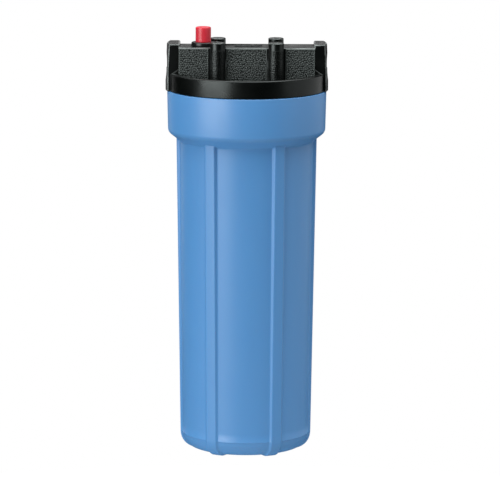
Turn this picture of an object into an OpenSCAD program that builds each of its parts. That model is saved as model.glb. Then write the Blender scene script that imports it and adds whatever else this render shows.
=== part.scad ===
// Cartridge filter housing for water treatment: a screwed bowl, a ported cap
// with a pressure relief valve, seals and a pleated cartridge.
// The origin is under the middle of the bowl's feet, +Z up, ports along X.

/* [Bowl] */
// Radius of the bowl's wall at the bottom
bowl_bottom_r = 46.4; // [44:0.1:47]
// Radius of the bowl's wall under the shoulder
bowl_top_r = 48.6; // [47.5:0.1:49]
// Thickness of the bowl's wall
bowl_wall = 4; // [3:0.5:4.5]
// Radius of the collar where it meets the shoulder
collar_r = 57.2; // [56.8:0.1:57.5]
// Radius of the collar at its rim
rim_r = 57.8; // [57.6:0.1:58.2]
// Height of the collar's rim above the feet
rim_z = 264.5; // [264:0.5:266]
// Radius of the rounded corner at the bowl's foot
foot_corner_r = 12; // [8:1:15]
// Number of grip ribs around the bowl
rib_count = 6; // [3:1:12]
// Width of one grip rib's face
rib_w = 7; // [5:0.5:9]
// Angle of the first rib from the +X axis
rib_start = -61.7; // [-70:0.1:-50]

/* [Thread] */
// Axial distance between turns of the bowl's thread
pitch = 6; // [5.8:0.1:6.2]
// Straight pieces in one turn of a thread
thread_steps = 40; // [36:4:48]

/* [Cap] */
// Radius of the cap's round band
band_r = 57; // [56:0.5:57]
// Height of the band's top edge above the feet
band_top_z = 277.5; // [277:0.5:279]
// Width of the port bar, front to back
bar_w = 27; // [26:0.5:28]
// Height of the port bar's top above the feet
bar_top_z = 296.5; // [296:0.5:298]
// Distance across the two port faces
port_face_span = 118; // [117:0.5:120]
// Spacing of the bracket screws along the bar
screw_dx = 42.2; // [42:0.1:44]
// Spacing of the bracket screws across the bar
screw_dy = 31; // [30.6:0.1:31.4]

/* [Relief valve] */
// Distance of the relief valve from the cap's middle
valve_x = -31.7; // [-33:0.1:-31]
// Radius of the red button
button_r = 5.6; // [5.2:0.1:5.7]
// Height of the button's top above the feet
button_top_z = 310.2; // [309.2:0.5:312.2]

/* [Cartridge] */
// Outside diameter of the filter cartridge
cartridge_d = 63.5; // [60:0.5:66]
// Length of the filter cartridge over its gaskets
cartridge_l = 248; // [246:0.5:248]
// Inside diameter of the filter cartridge
cartridge_id = 28; // [28:0.5:30]
// Number of pleats in the filter media
pleats = 36; // [24:2:48]

/* [Hidden] */
$fn = 96;
e = 0.02;

// Bowl
rib_h_top = 2.4;
rib_h_bottom = 1.25;
floor_outer_z = 1.25;
foot_in_r = 24;
floor_z = 6;
shoulder_z = 234.46;
shoulder_slope = 38;
shoulder_r = 5;
shoulder_fillet = 2;
seal_floor_z = 233.5;
seal_in_r = 46.4;
seal_out_r = 51.4;
lip_top_z = 236;
thread_root_r = 53.5;
thread_floor_z = 241;
mouth_chamfer = 0.8;
seat_r = 20;

// Thread
thread_h = 2;
thread_foot_w = 3.4;
thread_crest_w = 2;
thread_bury = 0.5;
cap_thread_z = 245;
cap_thread_turns = 2.5;
bowl_thread_from = -120;
bowl_thread_to = 750;
thread_fade = 24;

// Cap
skirt_out_r = 51.1;
skirt_in_r = 46.5;
skirt_z = 238.3;
band_z = 264.8;
band_in_r = 51.9;
deck_z = 271.5;
deck_under_z = 266;
bar_half_l = 48.5;
block_top_z = 299;
block_step_z = 282.4;
block_end_r = port_face_span / 2;
block_step = 0.3;
block_top_r = block_end_r - 1;
port_z = 282;
port_thread_r = 9.9;
port_thread_l = 15;
channel_r = 8.8;
inlet_way_end_x = -22;
down_x = -33;
down_r = 8;
nozzle_bore_r = 9.5;
spigot_r = 13.3;
spigot_l = 12;
knife_r = 19;
boss_r = 5.6;
boss_top_z = 300.6;
screw_r = 2.1;
screw_depth = 18;
plate_h = 0.7;
plates = [[-49.2, -27.7], [-15, 14.7], [27.8, 49]];
plate_top_z = 295.9;

// Relief valve
bush_flange_r = 8.6;
bush_top_z = 299.4;
bush_body_r = 5.95;
bush_bottom_z = 288;
bush_groove_r = 4.9;
bush_ring_z = 294;
pocket_floor_z = 296.7;
spring_seat_z = 293.5;
spring_bore_r = 3.75;
stem_r = 1.6;
stem_bore_r = 1.85;
stem_head_r = 3.5;
stem_head_z = 284.6;
stem_head_top_z = 286.4;
button_z = 299.2;
button_seat_z = 303;
spring_mean_r = 3;
spring_wire_r = 0.35;
spring_turns = 6;

// Cartridge
cart_z = 14;
cart_r = cartridge_d / 2;
cart_bore_r = cartridge_id / 2;
gasket_l = 2.5;
end_cap_l = 4;
media_z = cart_z + gasket_l + end_cap_l;
cart_top_z = cart_z + cartridge_l;
media_l = cartridge_l - 2 * (gasket_l + end_cap_l);
core_wall = 1.8;
core_out_r = cart_bore_r + core_wall;
net_wall = 0.8;

// Points along an arc, from one angle to another
function arc(cx, cz, r, from, to, n = 8) =
    [for (i = [0 : n]) let (a = from + (to - from) * i / n) [cx + r * cos(a), cz + r * sin(a)]];

// A circle spun around the Z axis
module torus(mean_r, wire_r, z) {
    translate([0, 0, z])
        rotate_extrude()
            translate([mean_r, 0])
                circle(r = wire_r, $fn = 32);
}

// A tube standing on z
module tube(out_r, in_r, z, l) {
    translate([0, 0, z])
        difference() {
            cylinder(r = out_r, h = l);
            translate([0, 0, -1])
                cylinder(r = in_r, h = l + 2);
        }
}

// Height of a thread's ridge, as a share of the full one, so many degrees from its nearer end
function ridge(a) = min(1, a / thread_fade);

// One trapezium section of a thread: foot below, crest below, crest above, foot above
function thread_section(foot_r, crest_r) = [
    [foot_r, -thread_foot_w / 2], [crest_r, -thread_crest_w / 2],
    [crest_r, thread_crest_w / 2], [foot_r, thread_foot_w / 2]];

// A helical ridge that starts at z_start at 0 degrees; its crest fades in and out at the ends
module helix_ridge(foot_r, crest_r, z_start, from, to) {
    n = ceil((to - from) * thread_steps / 360);
    sections = [for (i = [0 : n])
        let (a = from + (to - from) * i / n,
            grown = ridge(min(a - from, to - a) + 1),
            r = foot_r + (crest_r - foot_r) * grown)
        for (p = thread_section(foot_r, r))
            [p[0] * cos(a), p[0] * sin(a), z_start + pitch * a / 360 + p[1]]];
    sides = [for (i = [0 : n - 1]) for (k = [0 : 3])
        let (k2 = (k + 1) % 4)
        [4 * i + k, 4 * i + k2, 4 * i + 4 + k2, 4 * i + 4 + k]];
    ends = [[3, 2, 1, 0], [4 * n, 4 * n + 1, 4 * n + 2, 4 * n + 3]];
    outward = crest_r > foot_r;
    faces = concat(sides, ends);
    polyhedron(points = sections,
        faces = [for (f = faces) outward ? f : [for (k = [len(f) - 1 : -1 : 0]) f[k]]],
        convexity = 6);
}

// ---- Cap ----

// The band's rim, the deck inside it and the skirt that carries the thread
module cap_round() {
    rotate_extrude()
        polygon(concat(
            [[0, deck_under_z], [skirt_in_r - 3, deck_under_z], [skirt_in_r, deck_under_z - 3],
                [skirt_in_r, skirt_z], [skirt_out_r - 0.5, skirt_z], [skirt_out_r, skirt_z + 0.5],
                [skirt_out_r, band_z], [band_r - 0.4, band_z], [band_r, band_z + 0.4]],
            arc(band_r - 1, band_top_z - 1, 1, 0, 90, 5),
            arc(band_in_r + 0.8, band_top_z - 0.8, 0.8, 90, 180, 4),
            arc(band_in_r - 1.5, deck_z + 1.5, 1.5, 0, -90, 4),
            [[0, deck_z]]));
    helix_ridge(skirt_out_r - thread_bury, skirt_out_r + thread_h, cap_thread_z, 0,
        360 * cap_thread_turns);
}

// One port block, on the +X side; its end is round about the housing's axis and leans in above the step
module port_block() {
    intersection() {
        translate([bar_half_l, -bar_w / 2, band_z])
            cube([block_end_r - bar_half_l, bar_w, block_top_z - band_z]);
        rotate_extrude()
            polygon([[0, band_z - 1], [block_end_r, band_z - 1], [block_end_r, block_step_z],
                [block_end_r - block_step, block_step_z], [block_top_r, block_top_z],
                [block_top_r, block_top_z + 1], [0, block_top_z + 1]]);
    }
}

// The raised panels on one side of the bar
module panels() {
    for (p = plates)
        translate([p[0], -bar_w / 2 - plate_h, deck_z - 1])
            cube([p[1] - p[0], plate_h + 1, plate_top_z - deck_z + 1]);
}

// One screw boss: a column with a blind hole for a bracket screw
module boss(x, y) {
    translate([x, y, deck_under_z + 1])
        cylinder(r = boss_r, h = boss_top_z - deck_under_z - 1, $fn = 64);
    translate([x - boss_r, min(y, 0), deck_under_z + 1])
        cube([2 * boss_r, abs(y), bar_top_z - deck_under_z - 1.5]);
}

// The knife edge that bites the cartridge's gasket, and the spigot inside it
module nozzle() {
    tip_z = cart_top_z + 0.1;
    rotate_extrude()
        polygon([[nozzle_bore_r - 1, deck_under_z + 2], [knife_r + 3, deck_under_z + 2],
            [knife_r + 3, deck_under_z], [knife_r + 0.4, tip_z], [knife_r - 0.4, tip_z],
            [knife_r - 1.5, deck_under_z - 1.2], [spigot_r, deck_under_z - 1.2],
            [spigot_r, cart_top_z - spigot_l + 1.5], [spigot_r - 1.5, cart_top_z - spigot_l],
            [nozzle_bore_r - 1, cart_top_z - spigot_l]]);
}

// A raised arrow on the bar's top that shows the way of the flow
module flow_arrow() {
    translate([0, 0, bar_top_z - 0.5])
        linear_extrude(1.1)
            polygon([[-9, -1.6], [3, -1.6], [3, -4.2], [11, 0], [3, 4.2], [3, 1.6], [-9, 1.6]]);
}

module cap() {
    color("#1d2020")
        difference() {
            union() {
                cap_round();
                nozzle();
                translate([-bar_half_l - 1, -bar_w / 2, deck_under_z + 1])
                    cube([2 * bar_half_l + 2, bar_w, bar_top_z - deck_under_z - 1]);
                port_block();
                mirror([1, 0, 0])
                    port_block();
                panels();
                mirror([0, 1, 0])
                    panels();
                for (x = [-screw_dx / 2, screw_dx / 2], y = [-screw_dy / 2, screw_dy / 2])
                    boss(x, y);
                flow_arrow();
            }
            // The two ports and the waterways behind them
            for (side = [0, 180])
                rotate([0, 0, side])
                    translate([port_face_span / 2 + 1, 0, port_z])
                        rotate([0, -90, 0])
                            cylinder(r = port_thread_r, h = port_thread_l + 1);
            translate([-port_face_span / 2 + port_thread_l - 1, 0, port_z])
                rotate([0, 90, 0])
                    cylinder(r = channel_r, h = inlet_way_end_x + port_face_span / 2 - port_thread_l + 1);
            translate([0, 0, port_z])
                rotate([0, 90, 0])
                    cylinder(r = channel_r, h = port_face_span / 2 - port_thread_l + 1);
            translate([down_x, 0, deck_under_z - 5])
                cylinder(r = down_r, h = port_z - deck_under_z + 5);
            translate([0, 0, cart_top_z - spigot_l - 1])
                cylinder(r = nozzle_bore_r, h = port_z - cart_top_z + spigot_l + 1);
            // The relief valve's hole
            translate([valve_x, 0, port_z])
                cylinder(r = bush_body_r + 0.05, h = bar_top_z - port_z + 2);
            // Blind holes for the bracket's screws
            for (x = [-screw_dx / 2, screw_dx / 2], y = [-screw_dy / 2, screw_dy / 2])
                translate([x, y, boss_top_z - screw_depth])
                    cylinder(r = screw_r, h = screw_depth + 1, $fn = 48);
        }
}

// ---- Relief valve ----

module relief_bushing() {
    color("#17191a")
        translate([valve_x, 0, 0])
            rotate_extrude()
                polygon(concat(
                    [[stem_bore_r, bush_bottom_z], [bush_body_r - 0.6, bush_bottom_z],
                        [bush_body_r, bush_bottom_z + 0.6],
                        [bush_body_r, bush_ring_z - 1], [bush_groove_r, bush_ring_z - 1],
                        [bush_groove_r, bush_ring_z + 1], [bush_body_r, bush_ring_z + 1],
                        [bush_body_r, bar_top_z + e], [bush_flange_r, bar_top_z + e]],
                    arc(bush_flange_r - 0.8, bush_top_z - 0.8, 0.8, 0, 90, 5),
                    [[button_r + 0.25, bush_top_z], [button_r + 0.25, pocket_floor_z],
                        [spring_bore_r, pocket_floor_z], [spring_bore_r, spring_seat_z],
                        [stem_bore_r, spring_seat_z]]));
}

module bushing_o_ring() {
    color("#101010")
        translate([valve_x, 0, 0])
            torus(bush_groove_r + 0.54, 0.5, bush_ring_z);
}

module relief_button() {
    color("#cf3343")
        translate([valve_x, 0, 0])
            rotate_extrude()
                polygon(concat(
                    [[0, button_top_z], [0, button_top_z - 3.5], [stem_r + e, button_top_z - 3.5],
                        [stem_r + e, button_seat_z], [spring_bore_r, button_seat_z], [spring_bore_r, button_z],
                        [button_r, button_z]],
                    arc(button_r - 1.2, button_top_z - 1.2, 1.0, 0, 90, 6)));
}

module relief_stem() {
    color("#c9ccd0")
        translate([valve_x, 0, 0])
            rotate_extrude()
                polygon([[0, stem_head_z], [stem_head_r - 0.5, stem_head_z],
                    [stem_head_r, stem_head_z + 0.5], [stem_head_r, stem_head_top_z],
                    [stem_r, stem_head_top_z], [stem_r, button_top_z - 3.6],
                    [0, button_top_z - 3.6]]);
}

module stem_o_ring() {
    color("#101010")
        translate([valve_x, 0, 0])
            torus(2.4, 0.74, stem_head_top_z + 0.76);
}

// A wound spring of round wire between two heights
module coil_spring(mean_r, wire_r, z0, z1, turns) {
    steps = 14;
    sides = 6;
    n = turns * steps;
    rise = (z1 - z0 - 2 * wire_r) / n;
    points = [for (i = [0 : n]) for (k = [0 : sides - 1])
        let (a = 360 * i / steps, b = 360 * k / sides, r = mean_r + wire_r * cos(b))
        [r * cos(a), r * sin(a), z0 + wire_r + i * rise + wire_r * sin(b)]];
    walls = [for (i = [0 : n - 1]) for (k = [0 : sides - 1])
        let (k2 = (k + 1) % sides)
        [sides * i + k, sides * (i + 1) + k, sides * (i + 1) + k2, sides * i + k2]];
    first = [for (k = [0 : sides - 1]) k];
    last = [for (k = [sides - 1 : -1 : 0]) sides * n + k];
    polyhedron(points = points, faces = concat(walls, [first, last]), convexity = 8);
}

module relief_spring() {
    color("#b9bcc0")
        translate([valve_x, 0, 0])
            coil_spring(spring_mean_r, spring_wire_r, spring_seat_z + 0.05,
                button_seat_z - 0.05, spring_turns);
}

// ---- Bowl ----

// The bowl's outer outline from the middle of its floor up to the rim
function bowl_outline(grow, foot_r) = let (
    a = 90 - shoulder_slope,
    wall_top_r = bowl_top_r + grow[1],
    wall_low_r = bowl_bottom_r + grow[0],
    z_wall = shoulder_z - (collar_r - wall_top_r) * tan(shoulder_slope),
    z_fillet = z_wall - shoulder_fillet * tan(a / 2),
    z_round = shoulder_z + shoulder_r * tan(a / 2))
    concat(
        arc(wall_low_r - foot_r, floor_outer_z - grow[0] + foot_r, foot_r, -90, 0, 10),
        arc(wall_top_r + shoulder_fillet, z_fillet, shoulder_fillet, 180, 180 - a, 5),
        arc(collar_r - shoulder_r, z_round, shoulder_r, -a, 0, 7));

module bowl_shell() {
    in_top_r = bowl_top_r - bowl_wall;
    in_low_r = bowl_bottom_r - bowl_wall;
    in_corner = foot_corner_r - 3;
    rotate_extrude()
        polygon(concat(
            [[0, floor_outer_z]],
            bowl_outline([0, 0], foot_corner_r),
            [[rim_r, rim_z - 0.5], [rim_r - 0.5, rim_z],
                [thread_root_r + mouth_chamfer, rim_z], [thread_root_r, rim_z - mouth_chamfer],
                [thread_root_r, thread_floor_z + 1.5], [seal_out_r, thread_floor_z],
                [seal_out_r, seal_floor_z], [seal_in_r, seal_floor_z], [seal_in_r, lip_top_z],
                [in_top_r + 0.6, lip_top_z], [in_top_r, lip_top_z - 0.6]],
            arc(in_low_r - in_corner, floor_z + in_corner, in_corner, 0, -90, 6),
            [[0, floor_z]]));
    helix_ridge(thread_root_r + thread_bury, thread_root_r - thread_h, cap_thread_z + pitch / 2,
        bowl_thread_from, bowl_thread_to);
}

// The outline of a rib, from inside the wall to the rib's face
module rib_outline() {
    bury = 1.5;
    polygon(concat(
        [[foot_in_r, floor_outer_z + bury], [foot_in_r, 0]],
        [for (p = bowl_outline([rib_h_bottom, rib_h_top], foot_corner_r))
            if (p[0] < bowl_top_r + 5) p],
        [[bowl_top_r + bury, shoulder_z - 2 * bury], [bowl_top_r - bury, shoulder_z - 10]],
        arc(bowl_bottom_r - foot_corner_r, floor_outer_z + foot_corner_r,
            foot_corner_r - bury, 0, -90, 6)));
}

module bowl_rib() {
    rotate([90, 0, 0])
        linear_extrude(rib_w, center = true)
            rib_outline();
}

// The cartridge's seat on the bowl's floor: a knife edge, a centring spigot and webs
module bowl_seat() {
    tip_z = cart_z - 0.1;
    rotate_extrude()
        polygon([[0, floor_z - 1], [seat_r + 3, floor_z - 1], [seat_r + 2, floor_z + 2],
            [seat_r + 0.4, tip_z], [seat_r - 0.4, tip_z], [seat_r - 1.6, floor_z + 2],
            [spigot_r, floor_z + 2], [spigot_r, cart_z + 8], [spigot_r - 3, cart_z + 10],
            [spigot_r - 4, cart_z + 10], [spigot_r - 4, floor_z + 2], [0, floor_z + 2]]);
    for (i = [0 : rib_count - 1])
        rotate([0, 0, rib_start + 360 * i / rib_count])
            translate([seat_r, -1, floor_z - 1])
                cube([bowl_bottom_r - bowl_wall - seat_r - 8, 2, 4]);
}

module bowl() {
    color("#5b93cf") {
        bowl_shell();
        bowl_seat();
        for (i = [0 : rib_count - 1])
            rotate([0, 0, rib_start + 360 * i / rib_count])
                bowl_rib();
    }
}

module bowl_o_ring() {
    color("#141414")
        torus((seal_in_r + seal_out_r) / 2, 2.3, seal_floor_z + 2.35);
}

// ---- Cartridge ----

// The perforated tube inside the media, with rows of slots
module cartridge_core() {
    slots = 6;
    rows = 7;
    row_l = media_l / rows;
    color("#eef0ee")
        difference() {
            tube(core_out_r, cart_bore_r, media_z + 0.1, media_l - 0.2);
            for (row = [0 : rows - 1], i = [0 : slots / 2 - 1])
                rotate([0, 0, 180 * i / (slots / 2) + 15 * (row % 2)])
                    translate([-core_out_r - 1, -2, media_z + row_l * row + 8])
                        cube([2 * core_out_r + 2, 4, row_l - 16]);
        }
}

// Pleated paper: a star ring between the core and the net
module cartridge_media() {
    in_r = core_out_r + 0.3;
    out_r = cart_r - net_wall - 0.3;
    fold_r = in_r + 1.4;
    points = [for (i = [0 : pleats - 1]) each [
        let (a = 360 * (i - 0.2) / pleats) [out_r * cos(a), out_r * sin(a)],
        let (a = 360 * (i + 0.2) / pleats) [out_r * cos(a), out_r * sin(a)],
        let (a = 360 * (i + 0.45) / pleats) [fold_r * cos(a), fold_r * sin(a)],
        let (a = 360 * (i + 0.55) / pleats) [fold_r * cos(a), fold_r * sin(a)]]];
    color("#f4f1e8")
        translate([0, 0, media_z + 0.1])
            difference() {
                linear_extrude(media_l - 0.2)
                    polygon(points);
                translate([0, 0, -1])
                    cylinder(r = in_r, h = media_l + 2);
            }
}

// The net sleeve that holds the pleats
module cartridge_net() {
    color("#e9ecec")
        tube(cart_r, cart_r - net_wall, media_z + 0.1, media_l - 0.2);
}

module end_cap(z) {
    color("#f6f6f2")
        tube(cart_r, cart_bore_r, z, end_cap_l);
}

module cartridge_top_cap() {
    end_cap(cart_top_z - gasket_l - end_cap_l);
}

module cartridge_bottom_cap() {
    end_cap(cart_z + gasket_l);
}

module gasket(z) {
    color("#2a2a2a")
        tube(cart_r - 3, cart_bore_r + 0.5, z, gasket_l);
}

module cartridge_top_gasket() {
    gasket(cart_top_z - gasket_l);
}

module cartridge_bottom_gasket() {
    gasket(cart_z);
}

cap();
relief_bushing();
bushing_o_ring();
relief_button();
relief_stem();
stem_o_ring();
relief_spring();
bowl();
bowl_o_ring();
cartridge_core();
cartridge_media();
cartridge_net();
cartridge_top_cap();
cartridge_bottom_cap();
cartridge_top_gasket();
cartridge_bottom_gasket();
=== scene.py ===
"""Cartridge filter housing: the visual model, built round the CAD frame. Shapes are worked out in
millimetres in the part's own frame and turned to metres when each mesh is made."""
import math

import bmesh
import bpy
import numpy as np
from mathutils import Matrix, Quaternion, Vector


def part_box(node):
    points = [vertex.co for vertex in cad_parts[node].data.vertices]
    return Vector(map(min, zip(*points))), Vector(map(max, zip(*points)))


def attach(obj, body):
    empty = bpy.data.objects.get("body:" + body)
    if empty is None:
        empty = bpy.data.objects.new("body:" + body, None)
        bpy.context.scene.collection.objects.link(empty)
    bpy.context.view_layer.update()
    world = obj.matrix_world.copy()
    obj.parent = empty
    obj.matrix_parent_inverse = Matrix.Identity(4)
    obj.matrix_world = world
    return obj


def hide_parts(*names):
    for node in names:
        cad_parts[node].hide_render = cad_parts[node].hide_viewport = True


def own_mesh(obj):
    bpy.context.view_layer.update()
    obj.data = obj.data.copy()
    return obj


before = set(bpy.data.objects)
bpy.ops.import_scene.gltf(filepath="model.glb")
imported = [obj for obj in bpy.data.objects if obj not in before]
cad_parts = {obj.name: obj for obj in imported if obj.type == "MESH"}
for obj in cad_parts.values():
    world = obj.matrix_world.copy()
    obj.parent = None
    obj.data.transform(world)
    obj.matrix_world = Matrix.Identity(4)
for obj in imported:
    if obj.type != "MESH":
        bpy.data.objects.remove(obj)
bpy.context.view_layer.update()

MM = 0.001
TURN = 2 * math.pi


def box_mm(node):
    """Lowest and highest corner of a CAD node, in millimetres."""
    low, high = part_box(node)
    return np.array(low) / MM, np.array(high) / MM


# ---------------------------------------------------------------- sizes, mm

bowl_low, bowl_high = box_mm("bowl")
button_low, button_high = box_mm("relief_button")
net_low, net_high = box_mm("cartridge_net")
core_low, core_high = box_mm("cartridge_core")
media_low, media_high = box_mm("cartridge_media")
ring_low, ring_high = box_mm("bowl_o_ring")

# cap: the bar along its top, a port block at each end of it, four screw bosses and the round band.
# block_x is a block's inner face, and only the band and the blocks' outer faces are past block_end_x
bar_half_w = 13.5
bar_top = 296.5
block_x = 48.5
block_end_x = 56.0
block_top = 299.0
boss_x = 21.1
boss_y = 15.5
boss_r = 5.6
boss_top = 300.6
band_bottom = 264.8

# grained panels on the bar's sides
plate_y = 14.2
plate_bottom = 271.2
plate_top = 295.9
plate_spans = ((-49.2, -27.7), (-15.0, 14.7), (27.8, 49.0))
pebble = 1.5
grid_step = 0.19

# ports
port_z = 282.0
port_mouth_x = 58.0
port_thread_r = 9.9
port_thread_l = 13.0
port_thread_h = 0.85
port_pitch = 1.81

# bowl: foot, wall, shoulder, collar and rim
rim_z = bowl_high[2]
rim_r = (bowl_high[0] - bowl_low[0]) / 2
rim_round = 0.7
collar_r = rim_r - 0.6
wall_top_r = 48.6
wall_bottom_r = 46.4
wall_thick = 4.0
foot_r = 10.75
shoulder_slope = math.radians(38)
shoulder_z = rim_z - 30.04
shoulder_round = 5.0
shoulder_fillet = 2.0
shoulder_turn = 90 - math.degrees(shoulder_slope)
shoulder_half = math.tan(math.radians(shoulder_turn / 2))
parting_h = 0.12

# bowl: grip ribs, which run on under it as feet
rib_count = 6
rib_start = math.radians(-61.7)
rib_face = 3.45
rib_flank = 1.9
rib_h_top = 2.4
rib_h_bottom = 1.25
rib_end_r = 24.0
rib_mean_r = 49.0
wall_low_z = rib_h_bottom + foot_r
wall_high_z = (shoulder_z - (collar_r - wall_top_r) * math.tan(shoulder_slope)
               - shoulder_fillet * shoulder_half)

# bowl: thread, O-ring groove and ledge, floor with its knife edge and centring post
thread_pitch = 6.0
thread_root_r = 53.5
thread_h = 2.0
thread_foot_w = 3.4
thread_crest_w = 2.0
thread_z = 245.0
thread_end_z = 242.5
thread_lead_in = 1.0
groove_out_r = 51.4
groove_in_r = 46.4
groove_top_z = 241.0
groove_z = 233.5
ledge_z = 236.0
floor_z = 6.0
floor_round = 9.0
pad_z = floor_z + 2
knife_z = 13.9
post_out_r = 13.3
post_in_r = 9.3
post_top_z = 24.0

# relief valve
valve_x = (button_low[0] + button_high[0]) / 2
valve_centre = (valve_x, 0.0)
button_top = button_high[2]
button_r = 5.6
pocket_r = 3.75
stem_r = 1.6
stem_head_top = 286.4
spring_seat = 293.5
spring_top = 303.0
bushing_top = box_mm("relief_bushing")[1][2]
bushing_groove_r = 4.9
bushing_ring_z = 294.0


# ---------------------------------------------------------------- mesh tools

def finish_mesh(name, verts, faces, sharp=40):
    """A smooth-shaded object from points in millimetres, sharp only at edges past that angle."""
    mesh = bpy.data.meshes.new(name)
    mesh.from_pydata([tuple(v) for v in np.asarray(verts) * MM], [], faces)
    mesh.update()
    mesh.shade_smooth()
    mesh.set_sharp_from_angle(angle=math.radians(sharp))
    obj = bpy.data.objects.new(name, mesh)
    bpy.context.scene.collection.objects.link(obj)
    return obj


def arc(cx, cz, r, start, end, n):
    """Points along an arc in the profile plane, angles in degrees."""
    a = np.radians(np.linspace(start, end, n + 1))
    return [(cx + r * c, cz + r * s) for c, s in zip(np.cos(a), np.sin(a))]


def even_steps(points, step):
    """The same outline with its straight stretches cut into steps no longer than that."""
    out = [points[0]]
    for (x0, z0), (x1, z1) in zip(points, points[1:]):
        n = max(1, math.ceil(math.hypot(x1 - x0, z1 - z0) / step))
        out += [(x0 + (x1 - x0) * i / n, z0 + (z1 - z0) * i / n) for i in range(1, n + 1)]
    return out


def lathe(name, profile, angles, centre=(0.0, 0.0), closed=False, shift=None, sharp=40):
    """A body of revolution about a vertical axis; angles is a list of them, or how many to space evenly.
    profile runs anticlockwise seen with r to the right; an open one starts and ends on the axis.
    shift(r, z, angle) may move a point to another (r, z)."""
    turns = np.linspace(0, TURN, angles, endpoint=False) if isinstance(angles, int) else angles
    n = len(turns)
    verts, rows, faces = [], [], []
    for r, z in profile:
        if not closed and r < 1e-6:
            rows.append([len(verts)] * n)
            verts.append((centre[0], centre[1], z))
            continue
        rows.append(list(range(len(verts), len(verts) + n)))
        for a in turns:
            rr, zz = shift(r, z, a) if shift else (r, z)
            verts.append((centre[0] + rr * math.cos(a), centre[1] + rr * math.sin(a), zz))
    pairs = list(zip(rows, rows[1:])) + ([(rows[-1], rows[0])] if closed else [])
    for low, high in pairs:
        for i in range(n):
            j = (i + 1) % n
            quad = [low[i], low[j], high[j], high[i]]
            face = [v for k, v in enumerate(quad) if v != quad[k - 1]]
            if len(face) > 2:
                faces.append(face)
    return finish_mesh(name, verts, faces, sharp)


def sweep(name, path, radius, sides, sharp=60):
    """A round tube with flat ends along points in millimetres."""
    path = np.asarray(path, float)
    n = len(path)
    ahead = np.gradient(path, axis=0)
    ahead /= np.linalg.norm(ahead, axis=1)[:, None]
    side = np.cross(ahead, (0, 0, 1))
    side /= np.linalg.norm(side, axis=1)[:, None]
    up = np.cross(side, ahead)
    a = np.linspace(0, TURN, sides, endpoint=False)
    verts = (path[:, None] + radius * (np.cos(a)[None, :, None] * side[:, None]
                                       + np.sin(a)[None, :, None] * up[:, None])).reshape(-1, 3)
    faces = []
    for i in range(n - 1):
        for k in range(sides):
            p, q, k2 = i * sides, (i + 1) * sides, (k + 1) % sides
            faces.append([p + k, q + k, q + k2, p + k2])
    faces += [list(range(sides)), list(range(n * sides - 1, (n - 1) * sides - 1, -1))]
    return finish_mesh(name, verts, faces, sharp)


def grid_faces(rows, cols):
    """Quads between the points of a grid that are stored row after row."""
    corners = [r * cols + c for r in range(rows - 1) for c in range(cols - 1)]
    return [[a, a + 1, a + cols + 1, a + cols] for a in corners]


def grid_rim(rows, cols):
    """Numbers of the points round the edge of such a grid, in order."""
    last = (rows - 1) * cols
    return (list(range(cols)) + [r * cols + cols - 1 for r in range(1, rows)]
            + [last + c for c in range(cols - 2, -1, -1)] + [r * cols for r in range(rows - 2, 0, -1)])


def wall_faces(front, back):
    """Quads from each point of one closed row to the same point of the other."""
    pairs = list(zip(front, back))
    return [[q, p, p_back, q_back] for (p, p_back), (q, q_back) in zip(pairs, pairs[1:] + pairs[:1])]


def smooth_step(x):
    x = min(1.0, max(0.0, x))
    return x * x * (3 - 2 * x)


def smooth_steps(x):
    """smooth_step for arrays."""
    x = np.clip(x, 0, 1)
    return x * x * (3 - 2 * x)


# ---------------------------------------------------------------- materials

# tint of the cap's reflections, which are slightly green in the photo
cool_gloss = (0.90, 1.0, 0.985, 1)


def new_material(name, colour, roughness, **values):
    """A Principled material with its node tree and its shader; values are inputs to set."""
    mat = bpy.data.materials.new(name)
    mat.use_nodes = True
    tree = mat.node_tree
    shader = tree.nodes["Principled BSDF"]
    shader.inputs["Base Color"].default_value = (*colour, 1)
    shader.inputs["Roughness"].default_value = roughness
    for key, value in values.items():
        shader.inputs[key.replace("_", " ")].default_value = value
    return mat, tree, shader


def noise(tree, scale, detail=3.0, rough=0.5, stretch=(1, 1, 1)):
    """Noise in the object's own coordinates, in features per metre; returns its 0..1 factor."""
    coord = tree.nodes.new("ShaderNodeTexCoord")
    mapping = tree.nodes.new("ShaderNodeMapping")
    mapping.inputs["Scale"].default_value = stretch
    tree.links.new(coord.outputs["Object"], mapping.inputs["Vector"])
    tex = tree.nodes.new("ShaderNodeTexNoise")
    tex.inputs["Scale"].default_value = scale
    tex.inputs["Detail"].default_value = detail
    tex.inputs["Roughness"].default_value = rough
    tree.links.new(mapping.outputs["Vector"], tex.inputs["Vector"])
    return tex.outputs["Fac"]


def attribute(tree, name):
    """A number stored on the mesh's points."""
    node = tree.nodes.new("ShaderNodeAttribute")
    node.attribute_name = name
    return node.outputs["Fac"]


def ramp(tree, fac, stops):
    """A colour ramp over a factor; stops are (position, colour or grey)."""
    node = tree.nodes.new("ShaderNodeValToRGB")
    items = node.color_ramp.elements
    while len(items) < len(stops):
        items.new(0.5)
    for item, (pos, value) in zip(items, stops):
        item.position = pos
        item.color = (value, value, value, 1) if isinstance(value, (int, float)) else (*value, 1)
    tree.links.new(fac, node.inputs["Fac"])
    return node.outputs["Color"]


def bump(tree, shader, layers):
    """Chained bumps; each layer is (height factor, depth in metres, strength)."""
    last = None
    for height, depth, strength in layers:
        node = tree.nodes.new("ShaderNodeBump")
        node.inputs["Distance"].default_value = depth
        node.inputs["Strength"].default_value = strength
        tree.links.new(height, node.inputs["Height"])
        if last:
            tree.links.new(last, node.inputs["Normal"])
        last = node.outputs["Normal"]
    tree.links.new(last, shader.inputs["Normal"])


def shades(colour, spread):
    """A slightly darker and a slightly lighter version of a colour."""
    return [tuple(min(1, c * k) for c in colour) for k in (1 - spread, 1 + spread)]


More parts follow.
